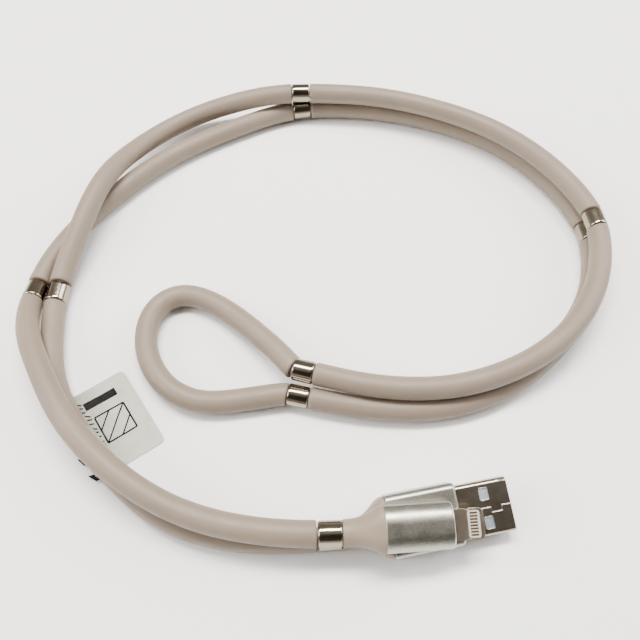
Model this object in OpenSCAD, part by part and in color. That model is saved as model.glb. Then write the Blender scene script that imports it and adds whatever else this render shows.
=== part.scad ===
// Self-winding charging cable: a thin inner cable threaded through soft
// sleeves and plated ring magnets, folded in two so that the magnets pair up,
// and laid in one open loop. A USB-A plug and an eight-contact tab plug lie
// one on the other at the free ends, both rolled a little towards -Y.
// Millimetres, +Z up. The origin is on the surface that the cable lies on,
// below the middle of the USB plug's housing, and +X runs along that plug,
// out of its mouth.

/* [Cable] */
// Outer diameter of the soft sleeves
sleeve_d = 5.9; // [5.7:0.1:5.9]
// Bore of the sleeves and of the ring magnets
bore_d = 3.5; // [3.4:0.1:3.8]
// Diameter of the inner cable
core_d = 3.0; // [2.4:0.1:3.1]
// Sides of a sleeve's cross-section
sleeve_sides = 12; // [8:2:12]

/* [Ring magnets] */
// Outer diameter of a ring magnet
ring_d = 5.7; // [5.2:0.1:5.8]
// Length of a ring magnet
ring_len = 5.4; // [4:0.2:5.6]
// Chamfer on a ring magnet's outer edges
ring_chamfer = 0.25; // [0.1:0.05:0.4]
// Gap between a ring magnet and the sleeve beside it
ring_gap = 0.15; // [0.1:0.01:0.2]

/* [USB plug] */
// Width of the USB plug's metal housing
usb_w = 13.8; // [13.4:0.2:15]
// Height of the USB plug's metal housing
usb_h = 6.6; // [6.4:0.1:6.6]
// Length of the USB plug's metal housing
usb_l = 16; // [15:0.5:17]
// Length of the USB plug's soft boot
usb_boot_l = 10.1; // [9.9:0.1:10.2]
// Width of the steel shell
shell_w = 12.0; // [12:0.1:12.1]
// Height of the steel shell
shell_h = 4.5; // [4.5:0.1:4.6]
// Length of the steel shell in front of the housing
shell_out = 12.0; // [11.6:0.1:12.4]

/* [Tab plug] */
// Width of the tab plug's metal housing
tabp_w = 10.0; // [9.6:0.1:10.4]
// Height of the tab plug's metal housing
tabp_h = 6.2; // [6.1:0.1:6.2]
// Length of the tab plug's metal housing
tabp_l = 14.8; // [14:0.2:15]
// Length of the tab plug's soft boot
tabp_boot_l = 8.4; // [8.2:0.1:8.5]
// Width of the contact tab
tab_w = 6.7; // [6.6:0.05:6.7]
// Thickness of the contact tab
tab_t = 1.5; // [1.4:0.05:1.6]
// Length of the contact tab in front of the housing
tab_out = 6.8; // [6.6:0.1:6.9]

/* [Hidden] */

$fn = 48;
r0 = sleeve_d / 2;

// The middle line of the doubled cable, from the plugs round to the last pair
// of magnets: x, y, roll of the pair in degrees, half the distance between the
// two strands, and how far the pair is lifted. The roll says where the USB
// strand lies: -90 under the tab strand, -180 inside it, -270 on top of it and
// -360 outside it.
MID = [[-3.5, -1.3, -96, 3.0, 0], [-15.5, -0.8, -94, 3.0, 0], [-27.5, 0.8, -91, 3.0, 0],
       [-43.5, 4.5, -75, 3.0, 0], [-58, 12, -69, 3.0, 0], [-69.5, 24.5, -92, 3.2, 0.3],
       [-79, 38.5, -95, 3.25, 0.3], [-84.5, 54.5, -96, 3.2, 0.2], [-86.5, 72, -168, 3.1, 0.2],
       [-83, 84, -190, 3.05, 0.2], [-75, 97.5, -232, 3.1, 0], [-65.5, 110.5, -290, 3.15, 0],
       [-56, 120.5, -336, 3.4, 0], [-41.5, 130, -354, 5.0, 0], [-25.5, 133, -327, 3.6, 0],
       [-10, 135, -285, 3.0, 0], [2, 133.5, -270, 3.0, 0], [20, 129, -268, 3.0, 0],
       [37.5, 120, -263, 3.0, 0], [53.5, 107.5, -261, 3.0, 0], [64, 90.5, -264, 3.0, 0],
       [68.5, 75.5, -268, 3.0, 0], [68, 64, -272, 3.0, 0], [61, 48.5, -268, 3.0, 0],
       [48, 36.5, -277, 3.0, 0], [32, 28.5, -253, 3.0, 0], [14, 26, -235, 3.0, 0],
       [-4, 30, -229, 3.0, 0], [-16, 35.5, -214, 3.1, 0], [-27, 40.5, -206, 3.3, 0],
       [-38, 46.5, -202, 3.3, 0]];
// The single loop that joins the two strands beyond the last pair of magnets
LOOP = [[-17.5, 37, 6.4], [-21.6, 39.5, 6.2], [-24.5, 46.3, 5.2], [-32, 57.5, 3.4],
        [-39.5, 66.5, 2.95], [-48.5, 72, 2.95], [-57, 68, 2.95], [-60, 57.5, 2.95],
        [-57, 46, 2.95], [-48.5, 38, 2.95], [-37.5, 37, 2.95], [-27.5, 36.9, 2.95],
        [-22.5, 35.9, 2.95], [-17, 33.5, 2.95]];
// Places of the five pairs of magnets along the middle line
RT = [0.5, 7.5, 14.5, 20.55, 27.48];
// Cross-sections along each sleeve
NS = 11;

// How far both plugs are rolled about their length, and the USB plug's centre:
// it rests on the lower edge of its housing
roll = 18;
usb_r = 1.4;
usb_c = [-0.26, -0.25, (usb_w / 2 - usb_r) * sin(roll) + (usb_h / 2 - usb_r) * cos(roll) + usb_r + 0.01];
// Where the tab plug lies on the USB plug: middle of its housing, and heading
tabp_at = [-2.5, -0.5, usb_h / 2 + 0.16 + tabp_h / 2];
tabp_turn = -7;

// Uniform cubic B-spline through a list of control points
function bs(P, t) = let (i = min(floor(t), len(P) - 4), f = t - i,
    a = pow(1 - f, 3) / 6, b = (3 * pow(f, 3) - 6 * f * f + 4) / 6,
    c = (-3 * pow(f, 3) + 3 * f * f + 3 * f + 1) / 6, d = pow(f, 3) / 6)
    a * P[i] + b * P[i + 1] + c * P[i + 2] + d * P[i + 3];
function unit(v) = v / norm(v);
// A strand's centre at place t: side 1 is the USB strand, side -1 the tab strand
function strand(t, side) = let (p = bs(MID, t), q = bs(MID, t + 0.01), g = bs(MID, max(t - 0.01, 0)),
    u = unit([q[0] - g[0], q[1] - g[1]]), h = p[3],
    z = r0 + h * abs(sin(p[2])) + p[4])
    [p[0] - side * h * cos(p[2]) * u[1], p[1] + side * h * cos(p[2]) * u[0], z + side * h * sin(p[2])];
function strand_dir(t, side) = unit(strand(t + 0.02, side) - strand(t - 0.02, side));
function strand_step(t, side) = norm(strand(t + 0.02, side) - strand(t - 0.02, side)) / 0.04;

half_ring = ring_len / 2 + ring_gap;
// Where sleeve k of a strand begins and ends along the middle line
function sleeve_a(k, side) = RT[k - 1] + half_ring / strand_step(RT[k - 1], side);
function sleeve_b(k, side) = RT[k] - half_ring / strand_step(RT[k], side);
// Centre points of sleeve k of a strand
function sleeve_pts(k, side) = let (ta = sleeve_a(k, side), tb = sleeve_b(k, side))
    [for (i = [0 : NS]) strand(ta + (tb - ta) * i / NS, side)];
// Centre points of the loop's sleeve
loop_a = 0.3;
loop_b = len(LOOP) - 3 - 0.5;
function loop_pts() = [for (i = [0 : NS + 2]) bs(LOOP, loop_a + (loop_b - loop_a) * i / (NS + 2))];

// Sweep: tangent at each point, and a frame that stays level. The two ends
// may be squared to a given direction.
function tang(P, i, d0 = undef, d1 = undef) = unit(
    i == 0 ? (is_undef(d0) ? P[1] - P[0] : d0)
    : i == len(P) - 1 ? (is_undef(d1) ? P[i] - P[i - 1] : d1)
    : unit(P[i + 1] - P[i]) + unit(P[i] - P[i - 1]));
function side_of(d) = unit(cross([0, 0, 1], d));
function circle_at(c, d, r, n) = let (s = side_of(d), u = cross(d, s))
    [for (j = [0 : n - 1]) c + r * cos(360 * j / n + 90) * s + r * sin(360 * j / n + 90) * u];
function flat(L) = [for (a = L) for (b = a) b];
function turned(L) = [for (f = L) [f[2], f[1], f[0]]];
// Triangles of a wall between ring i and ring i + 1, of n points each
function wall(n, m, at) = flat([for (i = [0 : m - 2]) flat([for (j = [0 : n - 1]) let (
    a = at + i * n + j, b = at + i * n + (j + 1) % n) [[a, b, b + n], [a, b + n, a + n]]])]);

module rod(P, r, n) {
    m = len(P);
    pts = flat([for (i = [0 : m - 1]) circle_at(P[i], tang(P, i), r, n)]);
    f = concat(wall(n, m, 0),
        [for (j = [1 : n - 2]) [0, j + 1, j]],
        [for (j = [1 : n - 2]) [(m - 1) * n, (m - 1) * n + j, (m - 1) * n + j + 1]]);
    polyhedron(pts, turned(f));
}
module tube(P, ro, ri, n, d0 = undef, d1 = undef) {
    m = len(P);
    k = m * n;
    pts = concat(flat([for (i = [0 : m - 1]) circle_at(P[i], tang(P, i, d0, d1), ro, n)]),
                 flat([for (i = [0 : m - 1]) circle_at(P[i], tang(P, i, d0, d1), ri, n)]));
    q = (m - 1) * n;
    f = concat(wall(n, m, 0), turned(wall(n, m, k)),
        flat([for (j = [0 : n - 1]) let (a = j, b = (j + 1) % n) [[b, a, a + k], [b, a + k, b + k]]]),
        flat([for (j = [0 : n - 1]) let (a = q + j, b = q + (j + 1) % n) [[a, b, b + k], [a, b + k, a + k]]]));
    polyhedron(pts, turned(f));
}
module along(c, d) { translate(c) rotate([0, acos(d[2]), atan2(d[1], d[0])]) children(); }

// Rounded rectangle, w along Y and h along Z once stood up by stand()
module rrect(w, h, r) {
    square([w - 2 * r, h], center = true);
    square([w, h - 2 * r], center = true);
    for (x = [-1, 1], y = [-1, 1]) translate([x * (w / 2 - r), y * (h / 2 - r)]) circle(r = r);
}
// Lays a drawing in the YZ plane and extrudes it from x0 to x1
module stand(x0, x1) { translate([x0, 0, 0]) rotate([90, 0, 90]) linear_extrude(x1 - x0) children(); }
module at_usb() { translate(usb_c) rotate([roll, 0, 0]) children(); }
module at_tab() { at_usb() translate(tabp_at) rotate([0, 0, tabp_turn]) children(); }
// The same, turned back: a point in the USB plug's or the tab plug's own frame
function in_usb(p) = let (d = p - usb_c)
    [d[0], d[1] * cos(roll) + d[2] * sin(roll), -d[1] * sin(roll) + d[2] * cos(roll)];
function in_tab(p) = let (d = in_usb(p) - tabp_at)
    [d[0] * cos(tabp_turn) + d[1] * sin(tabp_turn), -d[0] * sin(tabp_turn) + d[1] * cos(tabp_turn), d[2]];
// Middle of the first magnets' faces towards the plugs, in the plugs' frames
usb_neck = in_usb(strand(RT[0], 1) - (ring_len / 2) * strand_dir(RT[0], 1));
tabp_neck = in_tab(strand(RT[0], -1) - (ring_len / 2) * strand_dir(RT[0], -1));
usb_neck_y = usb_neck[1];
usb_neck_z = usb_neck[2];
tabp_neck_y = tabp_neck[1];
tabp_neck_z = tabp_neck[2];

// ---- soft boots: a round neck with a ball-shaped end, which the plug turns
// about, and which flares to the housing's outline ----
function flare(s) = 1 - pow(1 - s * s, 1.3);
function boot_ring(x, a, b, rc, cy, cz) = [for (c = [0 : 3]) let (
    sx = (c == 0 || c == 3) ? 1 : -1, sy = c < 2 ? 1 : -1)
    for (j = [0 : 5]) let (g = 90 * c + 90 * j / 5 + 0)
    [x, cy + sx * (a - rc) + rc * cos(g), cz + sy * (b - rc) + rc * sin(g)]];
module boot(l, w, h, rc, neck_y, neck_z, back) {
    st = [0, 0.2, 0.4, 0.56, 0.7, 0.82, 0.92, 1];
    n = 24;
    m = len(st);
    rn = r0 - 0.2;
    rp = rn - 0.04;
    x0 = back - l + r0;
    pts = flat([for (s = st) let (f = flare(s)) boot_ring(x0 + (l - r0) * s,
        rp + (w / 2 - rp) * f, rp + (h / 2 - rp) * f, rp - 0.01 + (rc - rp) * f, neck_y * (1 - f), neck_z * (1 - f))]);
    f = concat(wall(n, m, 0),
        [for (j = [1 : n - 2]) [0, j + 1, j]],
        [for (j = [1 : n - 2]) [(m - 1) * n, (m - 1) * n + j, (m - 1) * n + j + 1]]);
    difference() {
        union() {
            polyhedron(pts, turned(f));
            translate([x0, neck_y, neck_z]) sphere(r = rn);
        }
        cable_run(l, neck_y, neck_z, back, core_d + 0.06, 4, 1);
    }
}

// The cable's straight run in a plug, from the boot's neck into the housing
module cable_run(l, neck_y, neck_z, back, d, past0, past1) {
    a = [back - l + r0, neck_y, neck_z];
    b = [back + 3.4, 0, 0];
    u = unit(b - a);
    along(a - past0 * u, u) cylinder(d = d, h = norm(b - a) + past0 + past1);
}

// ---- USB plug ----
usb_x0 = -usb_l / 2;
usb_x1 = usb_l / 2;
shell_x0 = 1.2;
shell_x1 = usb_x1 + shell_out;
module usb_housing() { color([0.66, 0.66, 0.64]) at_usb() difference() {
    stand(usb_x0, usb_x1) rrect(usb_w, usb_h, usb_r);
    stand(usb_x0 - 1, usb_x1 - 0.8) rrect(usb_w - 1.2, usb_h - 1.2, usb_r - 0.6);
    stand(usb_x0, usb_x1 + 1) rrect(shell_w + 0.06, shell_h + 0.06, 0.6);
} }
module usb_boot() { color([0.76, 0.72, 0.67]) at_usb()
    boot(usb_boot_l, usb_w, usb_h, usb_r, usb_neck_y, usb_neck_z, usb_x0 - 0.04); }
module usb_inner_mould() { color([0.92, 0.92, 0.9]) at_usb() difference() {
    stand(usb_x0 + 0.1, 1.0) rrect(usb_w - 1.4, usb_h - 1.4, usb_r - 0.7);
    cable_run(usb_boot_l, usb_neck_y, usb_neck_z, usb_x0 - 0.04, core_d + 0.06, 0, 0.5);
    translate([usb_x0 + 3.4, -4.6, -1.7]) cube([4.9, 9.2, 3.4]);
    for (y = [-3.5, -1, 1, 3.5]) translate([0, y - 0.7, -0.5]) cube([2, 1.4, 1.0]);
} }
module usb_shell() { color([0.55, 0.51, 0.46]) at_usb() difference() {
    stand(shell_x0, shell_x1) rrect(shell_w, shell_h, 0.6);
    stand(shell_x0 - 1, shell_x1 + 1) rrect(shell_w - 0.6, shell_h - 0.6, 0.3);
    for (y = [-3.15, 3.15]) translate([shell_x1 - 7.3, y - 1.3, -5]) cube([2.0, 2.6, 10]);
} }
module usb_insulator() { color([0.75, 0.8, 0.84]) at_usb() difference() {
    union() {
        translate([2.0, -5.5, 0.12]) cube([shell_x1 - 0.9 - 2.0, 11, 1.74]);
        translate([2.0, -5.5, -1.86]) cube([3.6, 11, 2.1]);
    }
    for (y = [-3.5, -1, 1, 3.5]) translate([1.5, y - 0.55, -0.2]) cube([6, 1.1, 0.4]);
} }
module usb_contacts() { color([0.85, 0.68, 0.35]) at_usb()
    for (y = [-3.5, -1, 1, 3.5]) translate([0.3, y - 0.45, -0.12])
        cube([(abs(y) > 2 ? 17.6 : 16.8) - 0.3, 0.9, 0.2]); }
// A wire bends from the cable's end to its contact
module wire(P) { rod(P, 0.34, 8); }
module usb_wire(y) { at_usb() wire([[-4.2, 0.3 * y, 0], [-1.6, 0.85 * y, 0], [0.15, y, 0]]); }
module usb_wire_red() { color([0.7, 0.1, 0.1]) usb_wire(3.5); }
module usb_wire_white() { color([0.9, 0.9, 0.9]) usb_wire(1.2); }
module usb_wire_green() { color([0.1, 0.5, 0.2]) usb_wire(-1.2); }
module usb_wire_black() { color([0.08, 0.08, 0.08]) usb_wire(-3.5); }

// ---- eight-contact tab plug ----
tabp_r = 2.9;
tabp_x0 = -tabp_l / 2;
tabp_x1 = tabp_l / 2;
tab_x1 = tabp_x1 + tab_out;
// Outline of the tab seen from above, with its nose rounded
module tab_outline(x0, x1, w, r) {
    translate([x0, -w / 2]) square([x1 - x0 - r, w]);
    translate([x0, -w / 2 + r]) square([x1 - x0, w - 2 * r]);
    for (s = [-1, 1]) translate([x1 - r, s * (w / 2 - r)]) circle(r = r);
}
module tab_housing() { color([0.66, 0.66, 0.64]) at_tab() difference() {
    stand(tabp_x0, tabp_x1) rrect(tabp_w, tabp_h, tabp_r);
    stand(tabp_x0 - 1, tabp_x1 - 0.8) rrect(tabp_w - 1.2, tabp_h - 1.2, tabp_r - 0.6);
    stand(tabp_x0, tabp_x1 + 1) square([tab_w + 0.06, tab_t + 0.06], center = true);
} }
module tab_boot() { color([0.76, 0.72, 0.67]) at_tab()
    boot(tabp_boot_l, tabp_w, tabp_h, tabp_r, tabp_neck_y, tabp_neck_z, tabp_x0 - 0.04); }
module tab_inner_mould() { color([0.92, 0.92, 0.9]) at_tab() difference() {
    stand(tabp_x0 + 0.1, tabp_x1 - 0.9) rrect(tabp_w - 1.4, tabp_h - 1.4, tabp_r - 0.7);
    cable_run(tabp_boot_l, tabp_neck_y, tabp_neck_z, tabp_x0 - 0.04, core_d + 0.06, 0, 0.5);
    translate([tabp_x0 + 3.4, -3.2, -1.7]) cube([8.2, 6.4, 3.4]);
    translate([2, -tab_w / 2 - 0.05, -tab_t / 2 - 0.05]) cube([6, tab_w + 0.1, tab_t + 0.1]);
} }
module tab_frame() { color([0.6, 0.54, 0.47]) at_tab() difference() {
    translate([0, 0, -tab_t / 2]) linear_extrude(tab_t) tab_outline(4.6, tab_x1, tab_w, 1.1);
    translate([tab_x1 - 4.1, -2.95, -2]) cube([3.3, 5.9, 4]);
    translate([4, -2.6, -0.45]) cube([tab_x1 - 4.05 - 4, 5.2, 0.9]);
} }
module tab_contact_block() { color([0.86, 0.83, 0.77]) at_tab() difference() {
    translate([tab_x1 - 4.05, -2.9, -tab_t / 2]) cube([3.2, 5.8, tab_t]);
    for (i = [0 : 7]) for (s = [-1, 1]) translate([tab_x1 - 3.55, (i - 3.5) * 0.68 - 0.19, s * tab_t / 2 - 0.12])
        cube([2.1, 0.38, 0.24]);
} }
module tab_contacts() { color([0.62, 0.5, 0.35]) at_tab()
    for (i = [0 : 7]) for (s = [-1, 1]) translate([tab_x1 - 3.5, (i - 3.5) * 0.68 - 0.17, s * (tab_t / 2 - 0.06) - 0.05])
        cube([2.0, 0.34, 0.1]); }
module tab_circuit_board() { color([0.1, 0.35, 0.2]) at_tab()
    translate([-2.6, -2.5, -0.4]) cube([tab_x1 - 4.1 + 2.6, 5.0, 0.8]); }
module tab_chip() { color([0.1, 0.1, 0.1]) at_tab() translate([0.2, -1.2, 0.42]) cube([2.8, 2.4, 0.8]); }
module tab_wire(y) { at_tab() wire([[tabp_x0 + 3.8, 0.5 * y, 0.8], [-2.5, y, 1.0], [-1.0, y, 1.0]]); }
module tab_wire_red() { color([0.7, 0.1, 0.1]) tab_wire(2.1); }
module tab_wire_white() { color([0.9, 0.9, 0.9]) tab_wire(0.8); }
module tab_wire_green() { color([0.1, 0.5, 0.2]) tab_wire(-0.8); }
module tab_wire_black() { color([0.08, 0.08, 0.08]) tab_wire(-2.1); }

// ---- cable ----
function rev(P) = [for (i = [len(P) - 1 : -1 : 0]) P[i]];
// Straight through a ring magnet: its two end faces
function through(k, side) = [for (w = [-0.5, 0.5]) strand(RT[k], side) + w * ring_len * strand_dir(RT[k], side)];
core_path = concat(
    through(0, 1),
    flat([for (k = [1 : 4]) concat(sleeve_pts(k, 1), through(k, 1))]),
    loop_pts(),
    rev(through(4, -1)),
    flat([for (k = [4 : -1 : 1]) concat(rev(sleeve_pts(k, -1)), rev(through(k - 1, -1)))]));
module inner_cable() { color([0.8, 0.79, 0.76]) rod(core_path, core_d / 2, 8); }
// The cable's two ends, held in the plugs: they turn with the plugs
module usb_cable_end() { color([0.8, 0.79, 0.76]) at_usb()
    cable_run(usb_boot_l, usb_neck_y, usb_neck_z, usb_x0 - 0.04, core_d, 2.3, 0); }
module tab_cable_end() { color([0.8, 0.79, 0.76]) at_tab()
    cable_run(tabp_boot_l, tabp_neck_y, tabp_neck_z, tabp_x0 - 0.04, core_d, 2.3, 0); }

module sleeve(P, d0, d1) { color([0.76, 0.72, 0.67]) tube(P, r0, bore_d / 2, sleeve_sides, d0, d1); }
module pair_sleeve(k, side) { sleeve(sleeve_pts(k, side),
    strand_dir(RT[k - 1], side), strand_dir(RT[k], side)); }
module usb_sleeve_1() { pair_sleeve(1, 1); }
module usb_sleeve_2() { pair_sleeve(2, 1); }
module usb_sleeve_3() { pair_sleeve(3, 1); }
module usb_sleeve_4() { pair_sleeve(4, 1); }
module loop_sleeve() { sleeve(loop_pts(), strand_dir(RT[4], 1), -strand_dir(RT[4], -1)); }
module tab_sleeve_4() { pair_sleeve(4, -1); }
module tab_sleeve_3() { pair_sleeve(3, -1); }
module tab_sleeve_2() { pair_sleeve(2, -1); }
module tab_sleeve_1() { pair_sleeve(1, -1); }

module magnet(k, side) { color([0.6, 0.56, 0.5])
    along(strand(RT[k - 1], side), strand_dir(RT[k - 1], side)) rotate_extrude()
        polygon([[bore_d / 2, -ring_len / 2], [ring_d / 2 - ring_chamfer, -ring_len / 2],
                 [ring_d / 2, -ring_len / 2 + ring_chamfer], [ring_d / 2, ring_len / 2 - ring_chamfer],
                 [ring_d / 2 - ring_chamfer, ring_len / 2], [bore_d / 2, ring_len / 2]]); }
module usb_magnet_1() { magnet(1, 1); }
module usb_magnet_2() { magnet(2, 1); }
module usb_magnet_3() { magnet(3, 1); }
module usb_magnet_4() { magnet(4, 1); }
module usb_magnet_5() { magnet(5, 1); }
module tab_magnet_5() { magnet(5, -1); }
module tab_magnet_4() { magnet(4, -1); }
module tab_magnet_3() { magnet(3, -1); }
module tab_magnet_2() { magnet(2, -1); }
module tab_magnet_1() { magnet(1, -1); }

// ---- wrap-round tag: a film collar on the USB strand and a flat flag ----
tag_a = 4.05;
tag_b = 4.75;
tag_pts = [for (i = [0 : 4]) strand(tag_a + (tag_b - tag_a) * i / 4, 1)];
module cable_tag() { color([0.85, 0.85, 0.82]) union() {
    tube(tag_pts, r0 + 0.28, r0 + 0.14, 12);
    translate([0, 0, 0.06]) linear_extrude(0.16)
        polygon([[-66.5, 52], [-57, 31], [-68, 26], [-75, 23.5], [-75.5, 26], [-74, 27], [-77, 28.5], [-79, 46.5]]);
} }

usb_housing();
usb_boot();
usb_inner_mould();
usb_shell();
usb_insulator();
usb_contacts();
usb_wire_red();
usb_wire_white();
usb_wire_green();
usb_wire_black();
tab_housing();
tab_boot();
tab_inner_mould();
tab_frame();
tab_contact_block();
tab_contacts();
tab_circuit_board();
tab_chip();
tab_wire_red();
tab_wire_white();
tab_wire_green();
tab_wire_black();
usb_cable_end();
tab_cable_end();
inner_cable();
usb_sleeve_1();
usb_sleeve_2();
usb_sleeve_3();
usb_sleeve_4();
loop_sleeve();
tab_sleeve_4();
tab_sleeve_3();
tab_sleeve_2();
tab_sleeve_1();
usb_magnet_1();
usb_magnet_2();
usb_magnet_3();
usb_magnet_4();
usb_magnet_5();
tab_magnet_5();
tab_magnet_4();
tab_magnet_3();
tab_magnet_2();
tab_magnet_1();
cable_tag();
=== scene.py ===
import math
import bpy
import numpy as np
from mathutils import Vector, Matrix


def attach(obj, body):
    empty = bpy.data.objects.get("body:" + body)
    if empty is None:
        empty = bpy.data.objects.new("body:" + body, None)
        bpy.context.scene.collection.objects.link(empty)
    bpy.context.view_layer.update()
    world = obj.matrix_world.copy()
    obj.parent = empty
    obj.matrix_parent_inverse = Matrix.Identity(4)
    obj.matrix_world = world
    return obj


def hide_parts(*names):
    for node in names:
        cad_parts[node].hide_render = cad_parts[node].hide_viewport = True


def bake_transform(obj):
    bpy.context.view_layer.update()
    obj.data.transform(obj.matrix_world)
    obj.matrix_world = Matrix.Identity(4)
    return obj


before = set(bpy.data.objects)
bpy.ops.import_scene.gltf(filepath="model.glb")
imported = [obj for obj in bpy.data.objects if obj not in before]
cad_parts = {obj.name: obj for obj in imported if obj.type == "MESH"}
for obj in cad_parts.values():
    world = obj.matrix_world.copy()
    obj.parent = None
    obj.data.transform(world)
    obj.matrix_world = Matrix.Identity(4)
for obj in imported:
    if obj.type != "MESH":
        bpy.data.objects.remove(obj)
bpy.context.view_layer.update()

MM = 0.001
R0 = 2.95                      # sleeve radius, mm
CORE = 1.5                     # inner cable radius, mm
BORE = 1.75                    # bore of sleeves and rings, mm
RING_R = 2.86
RING_L = 5.4
GAP = 0.15

# ------------------------------------------------------------------ camera
cam_data = bpy.data.cameras.new("camera")
cam = bpy.data.objects.new("camera", cam_data)
bpy.context.scene.collection.objects.link(cam)
cam.location = (-0.02925, -0.02783, 0.156)
cam.rotation_euler = (math.radians(29.1), 0, math.radians(-11))
cam_data.sensor_width = 36
cam_data.lens = 36 * 656 / 640
cam_data.clip_start = 0.002
cam_data.clip_end = 20
bpy.context.scene.camera = cam

# ------------------------------------------------------------------ route
# The middle line of the doubled cable, in metres apart from the roll, which
# is in degrees: x, y, roll, half distance between strands, lift.
MID = np.array([
    [-3.5, -1.3, -96, 3.0, 0], [-15.5, -0.8, -94, 3.0, 0], [-27.5, 0.8, -91, 3.0, 0],
    [-43.5, 4.5, -75, 3.0, 0], [-58, 12, -69, 3.0, 0], [-69.5, 24.5, -92, 3.2, 0.3],
    [-79, 38.5, -95, 3.25, 0.3], [-84.5, 54.5, -96, 3.2, 0.2], [-86.5, 72, -168, 3.1, 0.2],
    [-83, 84, -190, 3.05, 0.2], [-75, 97.5, -232, 3.1, 0], [-65.5, 110.5, -290, 3.15, 0],
    [-56, 120.5, -336, 3.4, 0], [-41.5, 130, -354, 5.0, 0], [-25.5, 133, -327, 3.6, 0],
    [-10, 135, -285, 3.0, 0], [2, 133.5, -270, 3.0, 0], [20, 129, -268, 3.0, 0],
    [37.5, 120, -263, 3.0, 0], [53.5, 107.5, -261, 3.0, 0], [64, 90.5, -264, 3.0, 0],
    [68.5, 75.5, -268, 3.0, 0], [68, 64, -272, 3.0, 0], [61, 48.5, -268, 3.0, 0],
    [48, 36.5, -277, 3.0, 0], [32, 28.5, -253, 3.0, 0], [14, 26, -235, 3.0, 0],
    [-4, 30, -229, 3.0, 0], [-16, 35.5, -214, 3.1, 0], [-27, 40.5, -206, 3.3, 0],
    [-38, 46.5, -202, 3.3, 0]], float)
LOOP = np.array([
    [-17.5, 37, 6.4], [-21.6, 39.5, 6.2], [-24.5, 46.3, 5.2], [-32, 57.5, 3.4],
    [-39.5, 66.5, 2.95], [-48.5, 72, 2.95], [-57, 68, 2.95], [-60, 57.5, 2.95],
    [-57, 46, 2.95], [-48.5, 38, 2.95], [-37.5, 37, 2.95], [-27.5, 36.9, 2.95],
    [-22.5, 35.9, 2.95], [-17, 33.5, 2.95]], float)
RT = [0.5, 7.5, 14.5, 20.55, 27.48]


def bs(P, t):
    i = min(int(math.floor(t)), len(P) - 4)
    f = t - i
    a = (1 - f) ** 3 / 6
    b = (3 * f ** 3 - 6 * f * f + 4) / 6
    c = (-3 * f ** 3 + 3 * f * f + 3 * f + 1) / 6
    d = f ** 3 / 6
    return a * P[i] + b * P[i + 1] + c * P[i + 2] + d * P[i + 3]


def unit(v):
    v = np.asarray(v, float)
    return v / np.linalg.norm(v)


def strand(t, side):
    p, q, g = bs(MID, t), bs(MID, t + 0.01), bs(MID, max(t - 0.01, 0))
    u = unit((q - g)[:2])
    h, a = p[3], math.radians(p[2])
    z = R0 + h * abs(math.sin(a)) + p[4]
    return np.array([p[0] - side * h * math.cos(a) * u[1],
                     p[1] + side * h * math.cos(a) * u[0],
                     z + side * h * math.sin(a)])


def strand_dir(t, side):
    return unit(strand(t + 0.02, side) - strand(t - 0.02, side))


def strand_step(t, side):
    return np.linalg.norm(strand(t + 0.02, side) - strand(t - 0.02, side)) / 0.04


HALF = RING_L / 2 + GAP


def sleeve_line(k, side, n):
    ta = RT[k - 1] + HALF / strand_step(RT[k - 1], side)
    tb = RT[k] - HALF / strand_step(RT[k], side)
    return np.array([strand(ta + (tb - ta) * i / n, side) for i in range(n + 1)])


def loop_line(n):
    a, b = 0.3, len(LOOP) - 3 - 0.5
    return np.array([bs(LOOP, a + (b - a) * i / n) for i in range(n + 1)])


def resample(P, step):
    d = np.concatenate([[0], np.cumsum(np.linalg.norm(np.diff(P, axis=0), axis=1))])
    n = max(2, int(round(d[-1] / step)))
    s = np.linspace(0, d[-1], n + 1)
    return np.stack([np.interp(s, d, P[:, k]) for k in range(3)], axis=1), s


# ------------------------------------------------------------------ mesh helpers
COL = bpy.context.scene.collection


def mesh_obj(name, verts, faces, mat=None, angle=40, scale=MM):
    me = bpy.data.meshes.new(name)
    me.from_pydata([tuple(np.asarray(v, float) * scale) for v in verts], [], [tuple(int(i) for i in f) for f in faces])
    me.validate(clean_customdata=False)
    me.update()
    me.polygons.foreach_set("use_smooth", [True] * len(me.polygons))
    if angle is not None:
        me.set_sharp_from_angle(angle=math.radians(angle))
    ob = bpy.data.objects.new(name, me)
    COL.objects.link(ob)
    if mat is not None:
        me.materials.append(mat)
    return ob


def tangents(P, d0=None, d1=None):
    T = np.zeros_like(P)
    T[1:-1] = P[2:] - P[:-2]
    T[0] = P[1] - P[0] if d0 is None else d0
    T[-1] = P[-1] - P[-2] if d1 is None else d1
    return T / np.linalg.norm(T, axis=1)[:, None]


def rings_of(P, T, radii, n):
    out = []
    for p, t, r in zip(P, T, radii):
        s = unit(np.cross([0, 0, 1], t))
        u = np.cross(t, s)
        a = 2 * math.pi * np.arange(n) / n
        out.append(p + np.outer(np.cos(a) * r, s) + np.outer(np.sin(a) * r, u))
    return out


def loft(sections, closed_ends=(True, True), wrap=False):
    """sections: list of equal closed loops (n points each). Returns verts, faces."""
    n = len(sections[0])
    verts = np.concatenate(sections)
    faces = []
    m = len(sections)
    for i in range(m - 1 if not wrap else m):
        a0, b0 = i * n, ((i + 1) % m) * n
        for j in range(n):
            k = (j + 1) % n
            faces.append((a0 + j, a0 + k, b0 + k, b0 + j))
    if not wrap:
        if closed_ends[0]:
            faces.append(tuple(range(n - 1, -1, -1)))
        if closed_ends[1]:
            faces.append(tuple((m - 1) * n + j for j in range(n)))
    return verts, faces


def rrect(a, b, r, n=16, squash=0.0):
    """Closed loop of 4n points of a rounded rectangle of half sizes a, b."""
    r = min(r, a * 0.9995, b * 0.9995)
    pts = []
    for c in range(4):
        sx = 1 if c in (0, 3) else -1
        sy = 1 if c < 2 else -1
        for j in range(n):
            g = math.radians(90 * c + 90 * j / (n - 1))
            pts.append((sx * (a - r) + r * math.cos(g), sy * (b - r) + r * math.sin(g)))
    return np.array(pts)


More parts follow.
